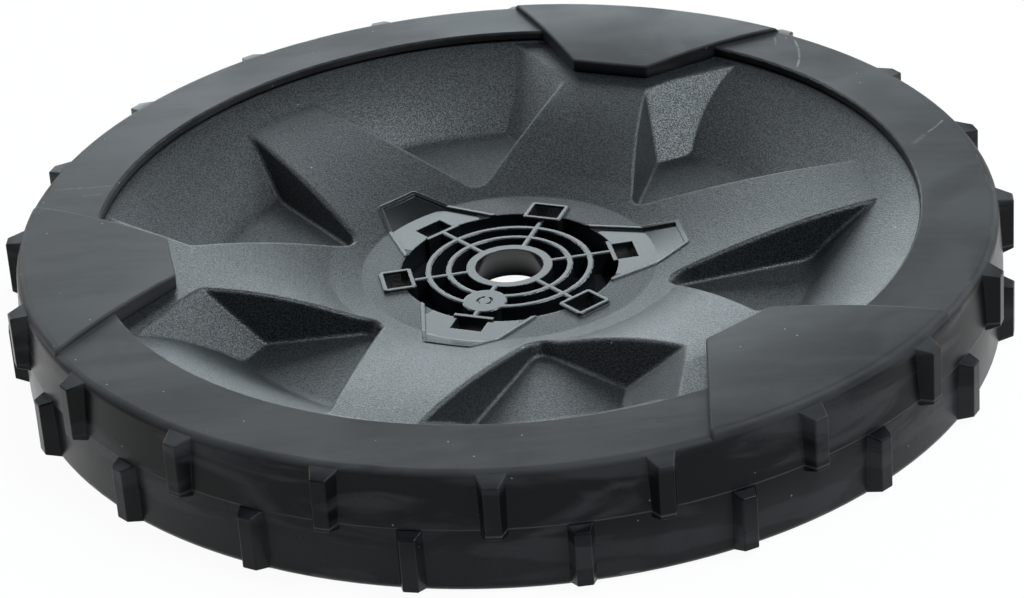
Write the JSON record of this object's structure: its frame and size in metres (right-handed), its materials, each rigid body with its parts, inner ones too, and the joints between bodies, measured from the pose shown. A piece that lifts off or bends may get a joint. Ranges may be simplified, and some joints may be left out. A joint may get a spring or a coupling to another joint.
{
  "type": "lawn mower wheel",
  "caption": "Drive wheel of a lawn mower: charcoal plastic dished rim with broad star spokes and a ribbed hub, in a black rubber tyre with raised flange pads and staggered tread lugs.",
  "frame": {"origin": "on the axle line, in the plane of the tyre's back edge", "axes": "+Z along the axle towards the wheel's outer face; X and Y across the wheel, with the first plain spoke 8.5 degrees from +X"},
  "size_m": [0.2198, 0.2198, 0.0295],
  "materials": {
    "rim": "fine spark-eroded grain, smooth at the hub",
    "tyre": "satin moulded rubber with faint flow marks and scuffs"
  },
  "bodies": {
    "root": {"rim": "rim", "tyre": "tyre"}
  },
  "joints": []
}
